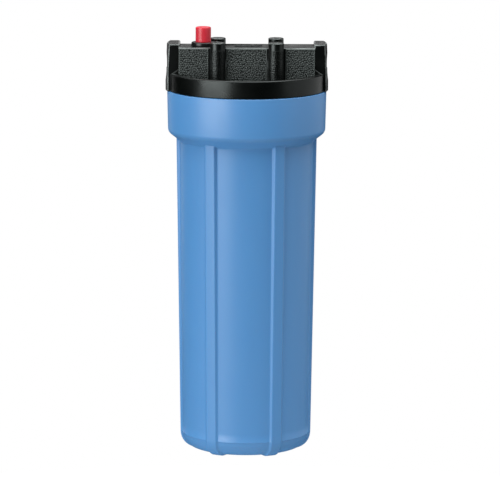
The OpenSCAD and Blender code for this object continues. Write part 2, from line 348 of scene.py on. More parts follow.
def plastic(name, colour, roughness, grain, spread=0.06, rough_spread=0.05, **values):
    """Moulded plastic: faint flow shading, uneven gloss, waviness and fine grain.
    grain lists (features per metre, depth in metres, strength)."""
    mat, tree, shader = new_material(name, colour, roughness, **values)
    dark, light = shades(colour, spread)
    flow = noise(tree, 22, 4, 0.55, (1, 1, 0.25))
    tree.links.new(ramp(tree, flow, [(0.3, dark), (0.7, light)]), shader.inputs["Base Color"])
    patches = noise(tree, 60, 3, 0.6)
    gloss = ramp(tree, patches, [(0.3, roughness - rough_spread), (0.7, roughness + rough_spread)])
    tree.links.new(gloss, shader.inputs["Roughness"])
    bump(tree, shader, [(noise(tree, 45, 2), 0.00025, 0.25)]
         + [(noise(tree, scale, 2), depth, strength) for scale, depth, strength in grain])
    return mat


def pebble_plastic_painted_light():
    """The cap's plastic where its mould is grained, dull in the grooves: its colour is painted shade, black
    in the grooves, and a painted highlight, paler on the pebbles' tops.
    """
    mat, tree, shader = new_material("cap_pebble_painted_light", (0.004, 0.005, 0.0045), 0.30, IOR=1.5,
                                     Specular_IOR_Level=0.7, Specular_Tint=cool_gloss)
    height = attribute(tree, "grain")
    # painted light: black painted shade in the grooves, pale painted highlight on the pebbles' tops and on
    # the panels' rims
    colour = ramp(tree, height, [(0.52, (0.0006, 0.0009, 0.0008)), (0.76, (0.006, 0.008, 0.0075)),
                                 (0.98, (0.070, 0.082, 0.078))])
    tree.links.new(colour, shader.inputs["Base Color"])
    tree.links.new(ramp(tree, height, [(0.3, 0.75), (0.6, 0.34), (1.0, 0.26)]), shader.inputs["Roughness"])
    bump(tree, shader, [(noise(tree, 950, 2, 0.6), 0.0002, 0.5), (noise(tree, 2600, 2), 0.00005, 0.6)])
    return mat


def edge_highlight_plastic():
    """The cap's plastic on its rounded edges and screw-boss tops: polished and glossier, with pale patches
    in its colour that are a painted highlight.
    """
    mat, tree, shader = new_material("cap_edge_painted_highlight", (0.05, 0.056, 0.054), 0.22, IOR=1.5,
                                     Specular_IOR_Level=1.0, Specular_Tint=cool_gloss)
    patches = noise(tree, 90, 4, 0.65)
    # painted highlight: pale patches in the base colour stand in for light caught by the edges
    tree.links.new(ramp(tree, patches, [(0.40, (0.006, 0.008, 0.007)), (0.66, (0.13, 0.145, 0.14))]),
                   shader.inputs["Base Color"])
    tree.links.new(ramp(tree, noise(tree, 400, 2), [(0.3, 0.17), (0.7, 0.30)]), shader.inputs["Roughness"])
    bump(tree, shader, [(noise(tree, 1500, 2), 0.00005, 0.5)])
    return mat


def make_materials():
    mats = {"cap_pebble_painted_light": pebble_plastic_painted_light()}
    mats["bowl_blue"] = plastic("bowl_blue", (0.076, 0.248, 0.527), 0.40,
                                [(1400, 0.00003, 0.25)], 0.025, 0.03, Subsurface_Weight=0.06,
                                Subsurface_Scale=0.004, IOR=1.49, Specular_IOR_Level=0.7)
    mats["cap_black"] = plastic("cap_black", (0.0015, 0.0020, 0.0018), 0.31,
                                [(1500, 0.00005, 0.5), (5200, 0.00001, 0.4)], 0.2, 0.05, IOR=1.5,
                                Specular_Tint=cool_gloss)
    mats["cap_edge_painted_highlight"] = edge_highlight_plastic()
    mats["valve_black"] = plastic("valve_black", (0.006, 0.0065, 0.0065), 0.30,
                                  [(1500, 0.00003, 0.4)], 0.2, 0.05)
    mats["button_red"] = plastic("button_red", (0.62, 0.030, 0.050), 0.30,
                                 [(1500, 0.00002, 0.25)], 0.05, 0.04, Subsurface_Weight=0.12,
                                 Subsurface_Scale=0.002)
    mats["cartridge_plastic"] = plastic("cartridge_plastic", (0.80, 0.81, 0.78), 0.45,
                                        [(1400, 0.00003, 0.3)], 0.03, 0.05)
    mats["net_white"] = plastic("net_white", (0.82, 0.84, 0.84), 0.40,
                                [(2200, 0.00002, 0.4)], 0.03, 0.05)
    mats["seal_rubber"] = plastic("seal_rubber", (0.010, 0.010, 0.010), 0.48,
                                  [(3000, 0.00002, 0.5)], 0.25, 0.08)
    mats["gasket_foam"] = plastic("gasket_foam", (0.030, 0.030, 0.033), 0.85,
                                  [(2500, 0.0001, 0.8)], 0.3, 0.05)
    mats["cartridge_paper"] = plastic("cartridge_paper", (0.83, 0.80, 0.70), 0.85,
                                      [(900, 0.0001, 0.5), (4000, 0.00003, 0.6)], 0.05, 0.05)
    for name, colour in (("stem_metal", (0.62, 0.63, 0.65)), ("spring_metal", (0.58, 0.59, 0.60))):
        mats[name] = plastic(name, colour, 0.28, [(3500, 0.00001, 0.4)], 0.04, 0.06, Metallic=1.0)
    return mats


MATS = make_materials()


def dress(obj, body, slot, *nodes, material=None):
    """Gives a piece its material, its body and the CAD nodes it stands for."""
    obj.data.materials.clear()
    obj.data.materials.append(MATS[material or slot])
    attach(obj, body)
    if nodes:
        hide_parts(*nodes)
    return obj


# ---------------------------------------------------------------- bowl

def thread_share(angle, z):
    """Share of the thread's full height; at angle 0 its crest is half a pitch above thread_z."""
    off = (z - thread_z - thread_pitch / 2 - thread_pitch * angle / TURN) % thread_pitch
    off = min(off, thread_pitch - off)
    return min(1.0, max(0.0, (thread_foot_w / 2 - off) / (thread_foot_w / 2 - thread_crest_w / 2)))


def fade_between(z, low, high, width):
    """1 between the two heights, going to 0 at each over that width."""
    return smooth_step((z - low) / width) * smooth_step((high - z) / width)


def bowl_wall_r(z):
    """Radius of the bowl's plain wall."""
    share = (z - wall_low_z) / (wall_high_z - wall_low_z)
    return wall_bottom_r + (wall_top_r - wall_bottom_r) * share


def rib_height(z):
    """How far a rib stands out of the wall."""
    return rib_h_bottom + (rib_h_top - rib_h_bottom) * max(0.0, z) / shoulder_z


def rib_share(r, angle):
    """1 on a rib's face, 0 on the plain wall, with a sloped flank between them."""
    step = TURN / rib_count
    off = (angle - rib_start + step / 2) % step - step / 2
    least_r = 20
    return smooth_step((rib_face + rib_flank - abs(off) * max(r, least_r)) / rib_flank)


def bowl_shift(r, z, angle):
    """Adds the ribs to the outside and the thread to the inside of the bowl."""
    corner_r, corner_z, near_by, rib_fade = wall_bottom_r - foot_r, wall_low_z, 0.05, 3
    on_foot = math.hypot(r - corner_r, z - corner_z) > foot_r - near_by
    if z < wall_low_z and (z <= rib_h_bottom + 1e-6 or on_foot):
        share = rib_share(r, angle) * smooth_step((r - rib_end_r) / rib_fade)
        nr, nz = (r - corner_r) / foot_r, (z - corner_z) / foot_r
        if r < corner_r:
            nr, nz = 0.0, -1.0
        return r + rib_h_bottom * nr * share, z + rib_h_bottom * nz * share
    if wall_low_z <= z < shoulder_z and r >= bowl_wall_r(z) - near_by:
        grown = bowl_wall_r(z) + rib_height(z) - r
        return r + max(0.0, grown) * rib_share(r, angle), z
    if abs(r - thread_root_r) <= 0.01:
        ends = fade_between(z, thread_z - 2.2, rim_z - 1.4, 2.0)
        return r - thread_h * thread_share(angle, z) * ends, z
    return r, z


def bowl_angles():
    """Angles round the bowl, close together on the ribs' flanks."""
    step = TURN / rib_count
    flank = [(rib_face + rib_flank * i / 8) / rib_mean_r for i in range(9)]
    half = [0.0, 0.035, 0.06] + flank + [flank[-1] + 0.02]
    plain = np.linspace(half[-1] + 0.03, step / 2, 9)
    one = half + list(plain)
    sector = sorted([-a for a in one[1:-1]] + one)
    return np.array(sorted((rib_start + i * step + a) for i in range(rib_count) for a in sector))


def bowl_outside():
    """Outline from the middle of the underside up to the collar, with the parting line above the foot."""
    line_r = wall_bottom_r + parting_h
    line_low, line_high, line_end = wall_low_z + 0.15, wall_low_z + 0.4, wall_low_z + 0.55
    points = [(0, rib_h_bottom), (rib_end_r, rib_h_bottom)]
    points += arc(wall_bottom_r - foot_r, wall_low_z, foot_r, -90, 0, 12)
    points += [(line_r, line_low), (line_r, line_high), (bowl_wall_r(line_end), line_end)]
    points += arc(wall_top_r + shoulder_fillet, wall_high_z, shoulder_fillet, 180, 180 - shoulder_turn, 6)
    shoulder = arc(collar_r - shoulder_round, shoulder_z + shoulder_round * shoulder_half,
                   shoulder_round, -shoulder_turn, 0, 12)
    points = even_steps(points, 6)
    return points + even_steps([points[-1], shoulder[0]], 0.5)[1:] + shoulder[1:]


def bowl_mouth():
    """Outline over the rim, down the threaded wall and round the O-ring's groove to the ledge."""
    bore_r, lead_z = wall_top_r - wall_thick, rim_z - thread_lead_in
    corner, edge, lip = 0.5, 0.4, 0.6
    points = arc(rim_r - rim_round, rim_z - rim_round, rim_round, 0, 90, 4)
    points += arc(thread_root_r + thread_lead_in, lead_z, thread_lead_in, 90, 180, 3)
    points += even_steps([(thread_root_r, lead_z), (thread_root_r, thread_end_z)], 0.3)[1:]
    return points + [
        (groove_out_r, groove_top_z), (groove_out_r, groove_z + corner), (groove_out_r - corner, groove_z),
        (groove_in_r + corner, groove_z), (groove_in_r, groove_z + corner), (groove_in_r, ledge_z - edge),
        (groove_in_r - edge, ledge_z), (bore_r + lip, ledge_z), (bore_r, ledge_z - lip)]


def bowl_inside():
    """Outline down the inner wall, over the knife edge for the lower gasket and the centring post."""
    top_r, low_r, chamfer = wall_top_r - wall_thick, wall_bottom_r - wall_thick, 2.0
    points = even_steps([(top_r, ledge_z - 0.6), (low_r, floor_z + floor_round)], 12)[1:]
    points += arc(low_r - floor_round, floor_z + floor_round, floor_round, 0, -90, 8)[1:]
    knife = [(23, floor_z), (22, pad_z), (20.4, knife_z), (19.6, knife_z), (18.4, pad_z)]
    post = [(post_out_r, pad_z), (post_out_r, post_top_z - chamfer), (post_in_r + 1, post_top_z),
            (post_in_r, post_top_z), (post_in_r, pad_z), (0, pad_z)]
    return points + knife + post


def make_bowl():
    profile = bowl_outside() + bowl_mouth() + bowl_inside()
    bowl = lathe("bowl_visual", profile, bowl_angles(), shift=bowl_shift, sharp=50)
    return dress(bowl, "bowl", "bowl_blue", "bowl")


make_bowl()


# ---------------------------------------------------------------- cap

flat_angle = math.radians(0.6)


def copy_node(node, name):
    """An editable copy of a CAD node's mesh, welded, with its flat faces made whole."""
    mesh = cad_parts[node].data.copy()
    mesh.name = name
    bm = bmesh.new()
    bm.from_mesh(mesh)
    bmesh.ops.remove_doubles(bm, verts=bm.verts, dist=1e-6)
    bmesh.ops.dissolve_limit(bm, angle_limit=flat_angle, verts=bm.verts, edges=bm.edges)
    bm.to_mesh(mesh)
    bm.free()
    obj = bpy.data.objects.new(name, mesh)
    bpy.context.scene.collection.objects.link(obj)
    return obj


def near(value, goal):
    return abs(value - goal) < 0.15


def edge_weight(edge):
    """Share of the widest rounding that a cap edge gets; only outer edges with room for it are rounded."""
    wide, bar_edge, boss_edge, band_edge, fine = 1.0, 0.8, 0.7, 0.6, 0.25
    least_angle = math.radians(40)
    between_boss_and_hole_r = 4
    if len(edge.link_faces) != 2 or not edge.is_convex or edge.calc_face_angle(0) < least_angle:
        return 0.0
    mid = (edge.verts[0].co + edge.verts[1].co) / 2 / MM
    x, y = abs(mid.x), abs(mid.y)
    if near(mid.z, boss_top):
        from_boss = math.hypot(x - boss_x, y - boss_y)
        return boss_edge if from_boss > between_boss_and_hole_r else fine
    if near(mid.z, block_top) and x > block_x - 2.5:
        return wide
    if near(x, block_x) and near(y, bar_half_w) and mid.z > bar_top:
        return wide
    if near(mid.z, bar_top) and near(y, bar_half_w):
        return bar_edge
    if x > block_end_x and mid.z > band_bottom - 0.5:
        return band_edge if near(y, bar_half_w) else fine
    return 0.0


def make_cap():
    """The cap with rounded edges; its plain panels are sunk, and grained ones stand in their place. The
    rounded edges and the screw bosses' tops take a second material whose pale colour is a painted
    highlight.
    """
    plate_reach, below_plates, weld = block_x + 1, 268, 2e-6
    cap = copy_node("cap", "cap_visual")
    bm = bmesh.new()
    bm.from_mesh(cap.data)
    for vert in bm.verts:
        x, y, z = abs(vert.co.x) / MM, abs(vert.co.y) / MM, vert.co.z / MM
        if abs(y - plate_y) < 0.05 and x < plate_reach and z > below_plates:
            vert.co.y *= bar_half_w / plate_y
    bmesh.ops.remove_doubles(bm, verts=bm.verts, dist=weld)
    bmesh.ops.dissolve_degenerate(bm, edges=bm.edges, dist=weld)
    bmesh.ops.dissolve_limit(bm, angle_limit=flat_angle, verts=bm.verts, edges=bm.edges)
    weights = bm.edges.layers.float.new("bevel_weight_edge")
    for link in bm.edges:
        link[weights] = edge_weight(link)
    # the screw bosses' tops take the edge material with its painted highlight
    for face in bm.faces:
        if near(face.calc_center_median().z / MM, boss_top):
            face.material_index = 1
    bm.to_mesh(cap.data)
    bm.free()
    edge = cap.modifiers.new("edge", "BEVEL")
    edge.width = 1.0 * MM
    edge.segments = 3
    edge.limit_method = "WEIGHT"
    edge.use_clamp_overlap = False
    # the rounding's faces take the edge material with its painted highlight
    edge.material = 1
    normals = cap.modifiers.new("normals", "WEIGHTED_NORMAL")
    normals.keep_sharp = True
    cap.data.shade_smooth()
    cap.data.set_sharp_from_angle(angle=math.radians(38))
    dress(cap, "head", "cap_black", "cap")
    # second slot: the edge material with its painted highlight
    cap.data.materials.append(MATS["cap_edge_painted_highlight"])
    return cap


make_cap()


# ---------------------------------------------------------------- grained panels on the bar

def pebble_heights(xs, zs, seed):
    """Heights from 0 to 1 of a leather grain: rounded, slanting islands with grooves between them."""
    rng = np.random.default_rng(seed)
    scatter, row_share, widen, slant = 0.36, 0.92, 0.94, 0.30
    reach, groove_w, dome_r = 2.6 * pebble, 0.55 * pebble, 0.85 * pebble
    span_x, span_z = xs[-1] - xs[0], zs[-1] - zs[0]
    cols, rows = int(span_x / pebble) + 4, int(span_z / pebble) + 4
    ci, ri = np.meshgrid(np.arange(-2, cols), np.arange(-2, rows))
    stagger = 0.5 * (ri % 2)
    cx = xs[0] + (ci + stagger + rng.uniform(-scatter, scatter, ci.shape)) * pebble
    cz = zs[0] + (ri + rng.uniform(-scatter, scatter, ri.shape)) * pebble * row_share
    size = rng.uniform(0.75, 1.0, ci.shape).ravel()
    centres = np.stack([cx.ravel(), cz.ravel()], 1)
    heights = np.zeros((len(zs), len(xs)))
    for row, z in enumerate(zs):
        close_by = np.abs(centres[:, 1] - z) < reach
        up = z - centres[close_by, 1]
        dx = (xs[:, None] - centres[close_by, 0]) * widen + up * slant
        dist = np.sort(np.hypot(dx, up[None, :]) / size[close_by], axis=1)
        groove = np.clip((dist[:, 1] - dist[:, 0]) / groove_w, 0, 1)
        dome = np.clip(1 - (dist[:, 0] / dome_r) ** 2, 0, 1)
        heights[row] = 0.45 * np.sqrt(1 - (1 - groove) ** 2) + 0.55 * dome
    return heights


def store_grain_and_painted_highlight(obj, grain):
    """Keeps the grain's height on the front points of a piece, for its material, which paints it as shade
    and highlight; its other points get 0.
    """
    values = np.zeros(len(obj.data.vertices), np.float32)
    values[:grain.size] = grain.ravel()
    obj.data.attributes.new("grain", "FLOAT", "POINT").data.foreach_set("value", values)


def face_outward(faces, side):
    """Turns the faces of a piece made for the front of the bar when it stands behind."""
    return [face[::-1] for face in faces] if side > 0 else faces


def make_panel(name, x0, x1, side, seed):
    """One raised panel with a grained face and a plain rounded rim, given a painted highlight; side is -1
    in front, 1 behind.
    """
    margin, blend = 0.55, 0.35
    depth, back, proud = 0.65, 1.0, 0.04
    round_w, round_d = 0.4, 0.3
    xs = np.arange(x0, x1 + grid_step / 2, grid_step)
    zs = np.arange(plate_bottom, plate_top + grid_step / 2, grid_step)
    grain = pebble_heights(xs, zs, seed)
    gx, gz = np.meshgrid(xs, zs)
    edge = np.minimum.reduce([gx - xs[0], xs[-1] - gx, zs[-1] - gz])
    inside = np.clip((edge - margin) / blend, 0, 1)
    rounding = round_d * np.clip(1 - edge / round_w, 0, 1) ** 2
    out = plate_y + proud - rounding - depth * inside * (1 - grain)
    front = np.stack([gx, side * out, gz], 2).reshape(-1, 3)
    rim = grid_rim(*gx.shape)
    behind = front[rim]
    behind[:, 1] = side * (plate_y - back)
    back_rim = list(range(gx.size, gx.size + len(rim)))
    faces = grid_faces(*gx.shape) + wall_faces(rim, back_rim) + [back_rim[::-1]]
    panel = finish_mesh(name, np.concatenate([front, behind]), face_outward(faces, side), 60)
    # painted highlight: the plain rim gets a value above the pebbles' tops, which the material paints pale
    # along the panel's edges
    painted_rim_highlight = 1.1 - 0.15 * np.clip(edge / round_w, 0, 1)
    grain_and_rim_highlight = painted_rim_highlight * (1 - inside) + grain * inside
    store_grain_and_painted_highlight(panel, np.where(inside < 1, grain_and_rim_highlight, grain))
    return dress(panel, "head", "cap_black", material="cap_pebble_painted_light")


def make_boss_skin(name, x, side, seed):
    """The grained skin of one screw boss, from the bar's face round its outside and back."""
    out_r, low_r, depth, fade = boss_r + 0.16, boss_r - 0.5, 0.24, 0.8
    flat = boss_y - bar_half_w + 0.2
    bend = math.pi * out_r
    us = np.arange(0, 2 * flat + bend + grid_step / 2, grid_step)
    zs = np.arange(plate_bottom, plate_top - 0.2, grid_step)
    grain = pebble_heights(us, zs, seed)
    gu, gz = np.meshgrid(us, zs)
    lift = smooth_steps((zs[-1] - gz) / fade)
    level = (out_r - depth * (1 - grain)) * lift + (boss_r - 0.1) * (1 - lift)
    angle = np.clip((gu - flat) / out_r, 0, math.pi)
    run = np.clip(flat - gu, 0, None) + np.clip(gu - flat - bend, 0, None)
    px, py = -np.cos(angle), np.sin(angle)
    outer = np.stack([x + level * px, side * (boss_y + level * py - run), gz], 2).reshape(-1, 3)
    inner = np.stack([x + low_r * px, side * (boss_y + low_r * py - run), gz], 2).reshape(-1, 3)
    faces = grid_faces(*gu.shape)
    faces += [[gu.size + point for point in face[::-1]] for face in faces]
    rim = grid_rim(*gu.shape)
    faces += wall_faces(rim, [gu.size + point for point in rim])
    skin = finish_mesh(name, np.concatenate([outer, inner]), face_outward(faces, side), 60)
    return dress(skin, "head", "cap_black")


for side_name, side, panel_seed, skin_seed in (("front", -1, 11, 31), ("back", 1, 14, 33)):
    for number, (x0, x1) in enumerate(plate_spans):
        make_panel(f"{side_name}_panel_{number + 1}", x0, x1, side, panel_seed + number)
    for number, x in enumerate((-boss_x, boss_x)):
        make_boss_skin(f"{side_name}_boss_skin_{number + 1}", x, side, skin_seed + number)


# ---------------------------------------------------------------- threads in the ports

def make_port_thread(name, side):
    """A pipe thread lining one port, of one radius all along and fading out at both ends; side is -1 for
    the inlet, 1 for the outlet."""
    lining = 0.5
    run_in = 2.2
    run_out = 1.5
    crest_slope = 2.6
    turns = 60
    start_x = port_mouth_x - 0.25
    along = np.arange(0, port_thread_l, port_pitch / 8)
    verts, faces = [], []
    for a in np.linspace(0, TURN, turns, endpoint=False):
        rings = []
        for s in along:
            phase = (s / port_pitch + a / TURN) % 1
            crest = min(1.0, crest_slope * (0.5 - abs(phase - 0.5)))
            ends = smooth_step(s / run_in) * smooth_step((port_thread_l - s) / run_out)
            rings.append((s, port_thread_r - port_thread_h * crest * ends))
        rings += [(s, port_thread_r + lining) for s in (along[-1], along[0])]
        verts += [(side * (start_x - s), r * math.cos(a), port_z + r * math.sin(a)) for s, r in rings]
    size = len(along) + 2
    for i in range(turns):
        j = (i + 1) % turns
        for k in range(size):
            k2 = (k + 1) % size
            face = [i * size + k, i * size + k2, j * size + k2, j * size + k]
            faces.append(face if side > 0 else face[::-1])
    return dress(finish_mesh(name, verts, faces, 50), "head", "cap_black")


make_port_thread("inlet_thread", -1)
make_port_thread("outlet_thread", 1)


# ---------------------------------------------------------------- relief valve

def make_button():
    """The button, slightly dished on top, with a pocket for the spring and a bore for the stem."""
    low_z, dish_r = button_low[2], 4.1
    bore_r, bore_top = stem_r + 0.02, button_top - 3.5
    foot_edge, top_edge = 0.35, 0.8
    outline = [(0, bore_top), (bore_r, bore_top), (bore_r, spring_top), (pocket_r, spring_top),
               (pocket_r, low_z + 0.2), (pocket_r + 0.2, low_z)]
    outline += arc(button_r - foot_edge, low_z + foot_edge, foot_edge, -90, 0, 4)
    outline += arc(button_r - top_edge, button_top - top_edge, top_edge, 0, 90, 8)
    outline += [(dish_r, button_top), (dish_r - 0.25, button_top - 0.1), (dish_r - 0.5, button_top - 0.16),
                (0, button_top - 0.2)]
    dress(lathe("button_visual", even_steps(outline, 1.2), 72, valve_centre, sharp=50),
          "valve", "button_red", "relief_button")


def make_bushing():
    """The black bushing: a flange on the bar, an O-ring groove and the bore that guides the button."""
    base, body_r, hole_r = 288.0, 5.95, 1.85
    bore_r, bore_z = 5.85, 296.7
    flange_r, flange_z = 8.6, 296.52
    chamfer, half_groove = 0.6, 1
    low_edge, top_edge, bore_edge = 0.3, 0.9, 0.4
    outline = [(hole_r, base), (body_r - chamfer, base), (body_r, base + chamfer),
               (body_r, bushing_ring_z - half_groove), (bushing_groove_r, bushing_ring_z - half_groove),
               (bushing_groove_r, bushing_ring_z + half_groove), (body_r, bushing_ring_z + half_groove),
               (body_r, flange_z - 0.02), (flange_r - 0.5, flange_z - 0.02)]
    outline += arc(flange_r - low_edge, flange_z + low_edge, low_edge, -60, 0, 3)
    outline += arc(flange_r - top_edge, bushing_top - top_edge, top_edge, 0, 90, 6)
    outline += arc(bore_r + bore_edge, bushing_top - bore_edge, bore_edge, 90, 180, 3)
    outline += [(bore_r, bore_z), (pocket_r, bore_z), (pocket_r, spring_seat), (hole_r, spring_seat)]
    dress(lathe("bushing_visual", outline, 72, valve_centre, closed=True, sharp=45),
          "head", "valve_black", "relief_bushing")


def make_stem():
    """The metal stem with its head below the bushing and its tip in the button."""
    head_z, head_r, neck_r = 284.6, 3.5, 1.9
    tip_r, tip_z = 1.35, button_top - 3.62
    outline = [(0, head_z), (head_r - 0.6, head_z), (head_r - 0.2, head_z + 0.15), (head_r, head_z + 0.5),
               (head_r, stem_head_top - 0.2), (head_r - 0.2, stem_head_top), (neck_r, stem_head_top),
               (stem_r, stem_head_top + 0.3), (stem_r, tip_z - 0.28), (tip_r, tip_z), (0, tip_z)]
    dress(lathe("stem_visual", outline, 40, valve_centre, sharp=45), "valve", "stem_metal", "relief_stem")


def make_valve_rings():
    """The valve's two O-rings: on the stem's head, and in the bushing's groove."""
    stem_ring = arc(2.4, stem_head_top + 0.76, 0.74, 0, 360, 20)[:-1]
    dress(lathe("stem_o_ring_visual", stem_ring, 40, valve_centre, closed=True),
          "valve", "seal_rubber", "stem_o_ring")
    bushing_ring = arc(bushing_groove_r + 0.54, bushing_ring_z, 0.5, 0, 360, 16)[:-1]
    dress(lathe("bushing_o_ring_visual", bushing_ring, 48, valve_centre, closed=True),
          "head", "seal_rubber", "bushing_o_ring")


def make_spring():
    """The spring, whose turns are closer at its ends and in its middle."""
    wire = 0.35
    mean_r = 3.0
    turns = 7
    crowding = 0.05775
    gap = 0.05
    length = spring_top - spring_seat
    share = np.linspace(0, 1, turns * 24 + 1)
    rise = np.clip(share - crowding * np.sin(2 * TURN * share), 0, 1)
    z = spring_seat + gap + wire + rise * (length - 2 * gap - 2 * wire)
    path = np.stack([valve_x + mean_r * np.cos(TURN * turns * share),
                     mean_r * np.sin(TURN * turns * share), z], 1)
    spring = dress(sweep("spring_visual", path, wire, 8), "head", "spring_metal", "relief_spring")
    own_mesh(spring)


make_button()
make_bushing()
make_stem()
make_valve_rings()
make_spring()


# ---------------------------------------------------------------- seal and cartridge

def make_seal():
    """The bowl's O-ring, with the faint parting line that moulding leaves inside and outside."""
    wire_r = (ring_high[2] - ring_low[2]) / 2
    mean_r, z = ring_high[0] - wire_r, (ring_low[2] + ring_high[2]) / 2
    sides, flash = 40, 0.03
    section = arc(mean_r, z, wire_r, 0, 360, sides)[:-1]
    for i in (0, sides // 2):
        r, height = section[i]
        section[i] = (r + math.copysign(flash, r - mean_r), height)
    dress(lathe("bowl_o_ring_visual", section, 160, closed=True), "bowl_seal", "seal_rubber", "bowl_o_ring")


def grid_tube(name, out_r, in_r, heights, angles, is_open):
    """A tube on a grid of heights and angles, with a window wherever is_open(angle, height) says so."""
    rows, cols = len(heights), len(angles)
    verts = [(r * math.cos(a), r * math.sin(a), z) for r in (out_r, in_r) for z in heights for a in angles]
    half = rows * cols

    def at(shell, i, j):
        return shell * half + i * cols + j % cols

    gap = np.zeros((rows + 1, cols), bool)
    gap[0] = gap[rows] = True
    for i in range(rows - 1):
        z = (heights[i] + heights[i + 1]) / 2
        for j in range(cols):
            span = (angles[(j + 1) % cols] - angles[j]) % TURN
            gap[i + 1, j] = is_open(angles[j] + span / 2, z)
    faces = []
    for i in range(rows - 1):
        for j in range(cols):
            if gap[i + 1, j]:
                continue
            faces.append([at(0, i, j), at(0, i, j + 1), at(0, i + 1, j + 1), at(0, i + 1, j)])
            faces.append([at(1, i + 1, j), at(1, i + 1, j + 1), at(1, i, j + 1), at(1, i, j)])
            if i == 0 or gap[i, j]:
                faces.append([at(1, i, j), at(1, i, j + 1), at(0, i, j + 1), at(0, i, j)])
            if i == rows - 2 or gap[i + 2, j]:
                faces.append([at(0, i + 1, j), at(0, i + 1, j + 1), at(1, i + 1, j + 1), at(1, i + 1, j)])
            if gap[i + 1, j - 1]:
                faces.append([at(0, i, j), at(0, i + 1, j), at(1, i + 1, j), at(1, i, j)])
            if gap[i + 1, (j + 1) % cols]:
                faces.append([at(1, i, j + 1), at(1, i + 1, j + 1), at(0, i + 1, j + 1), at(0, i, j + 1)])
    obj = finish_mesh(name, verts, faces)
    bm = bmesh.new()
    bm.from_mesh(obj.data)
    bmesh.ops.delete(bm, geom=[v for v in bm.verts if not v.link_faces], context="VERTS")
    bm.to_mesh(obj.data)
    bm.free()
    return obj


def make_core():
    """The slotted tube in the cartridge's middle; every second row of slots is turned by 15 degrees."""
    out_r, in_r, z0, z1 = core_high[0], core_high[0] - 1.8, core_low[2], core_high[2]
    slots, rows, stagger = 6, 7, 15
    slot_w, land = 4.0, 8.0
    row_l = (z1 - z0 + 0.2) / rows
    half = math.asin(slot_w / 2 / out_r)
    heights = [z0]
    for row in range(rows):
        heights += [z0 + row_l * row + land, z0 + row_l * (row + 1) - land]
    heights.append(z1)
    edges = [(math.radians(60 * i + shift) + sign * half) % TURN
             for i in range(slots) for shift in (0, stagger) for sign in (-1, 1)]
    even = np.linspace(0, TURN, 72, endpoint=False)
    angles = np.array(sorted(set(np.round(np.concatenate([even, edges]), 6))))

    def is_open(angle, z):
        row = int((z - z0) // row_l)
        along = (z - z0) - row * row_l
        turned = angle - math.radians(stagger * (row % 2))
        off = (turned + math.pi / slots) % (TURN / slots) - math.pi / slots
        return land < along < row_l - land and abs(off) < half

    core = grid_tube("core_visual", out_r, in_r, heights, angles, is_open)
    dress(core, "cartridge", "cartridge_plastic", "cartridge_core")


def make_media():
    """Pleated paper: one folded sheet that runs round the core."""
    in_r, out_r, sheet = core_high[0] + 1.0, media_high[0] - 0.45, 0.55
    folds, per_fold = 36, 16
    n = folds * per_fold
    turn = np.linspace(0, TURN, n, endpoint=False)
    phase = (turn * folds / TURN) % 1
    tri = 1 - np.abs(2 * phase - 1)
    swing = np.clip((tri - 0.5) * 1.18 + 0.5, 0, 1)
    swing = swing * swing * (3 - 2 * swing) * 0.35 + swing * 0.65
    r = in_r + (out_r - in_r) * swing
    heights = np.linspace(media_low[2], media_high[2], 28)
    rng = np.random.default_rng(5)
    lean = rng.uniform(-0.28, 0.28, folds)[(turn * folds / TURN).astype(int) % folds]
    verts = []
    for sign in (1, -1):
        for z in heights:
            t = (z - heights[0]) / (heights[-1] - heights[0])
            sway = lean * math.sin(math.pi * t) * swing * math.radians(4) * np.sin(3.1 * t + 9 * lean)
            x, y = r * np.cos(turn + sway), r * np.sin(turn + sway)
            dx, dy = np.roll(x, -1) - np.roll(x, 1), np.roll(y, -1) - np.roll(y, 1)
            length = np.hypot(dx, dy)
            verts += [(px + sign * sheet / 2 * b / d, py - sign * sheet / 2 * a / d, z)
                      for px, py, a, b, d in zip(x, y, dx, dy, length)]
    rows = len(heights)
    inner, top = rows * n, (rows - 1) * n
    faces = []
    for j in range(n):
        k = (j + 1) % n
        for i in range(rows - 1):
            low, high = i * n, (i + 1) * n
            faces.append([low + j, low + k, high + k, high + j])
            faces.append([inner + high + j, inner + high + k, inner + low + k, inner + low + j])
        faces.append([inner + j, inner + k, k, j])
        faces.append([top + j, top + k, inner + top + k, inner + top + j])
    media = finish_mesh("media_visual", verts, faces, 70)
    dress(media, "cartridge", "cartridge_paper", "cartridge_media")


def make_net():
    """The net sleeve: two families of strands that wind opposite ways and cross in diamonds."""
    r, z0, z1 = net_high[0] - 0.42, net_low[2], net_high[2]
    strands, steps, sides = 44, 44, 6
    wire, winding, apart = 0.36, 0.95, 0.06
    thick, wide = wire * 0.9, wire * 1.25
    verts, faces = [], []
    t = np.linspace(0, 1, steps + 1)
    for hand in (-1, 1):
        for i in range(strands):
            a = TURN * i / strands + hand * t * TURN * winding
            centre = np.stack([(r - apart * hand) * np.cos(a), (r - apart * hand) * np.sin(a),
                               z0 + wire + t * (z1 - z0 - 2 * wire)], 1)
            out = np.stack([np.cos(a), np.sin(a), 0 * a], 1)
            along = np.gradient(centre, axis=0)
            along /= np.linalg.norm(along, axis=1)[:, None]
            side = np.cross(along, out)
            base = len(verts)
            for k in range(sides):
                b = TURN * k / sides
                ring = centre + thick * math.cos(b) * out + wide * math.sin(b) * side
                verts += [tuple(v) for v in ring]
            m = steps + 1
            for k in range(sides):
                k2 = (k + 1) % sides
                faces += [[base + k * m + j, base + k2 * m + j, base + k2 * m + j + 1, base + k * m + j + 1]
                          for j in range(steps)]
            faces.append([base + k * m for k in range(sides - 1, -1, -1)])
            faces.append([base + k * m + steps for k in range(sides)])
    net = finish_mesh("net_visual", verts, faces, 70)
    dress(net, "cartridge", "net_white", "cartridge_net")


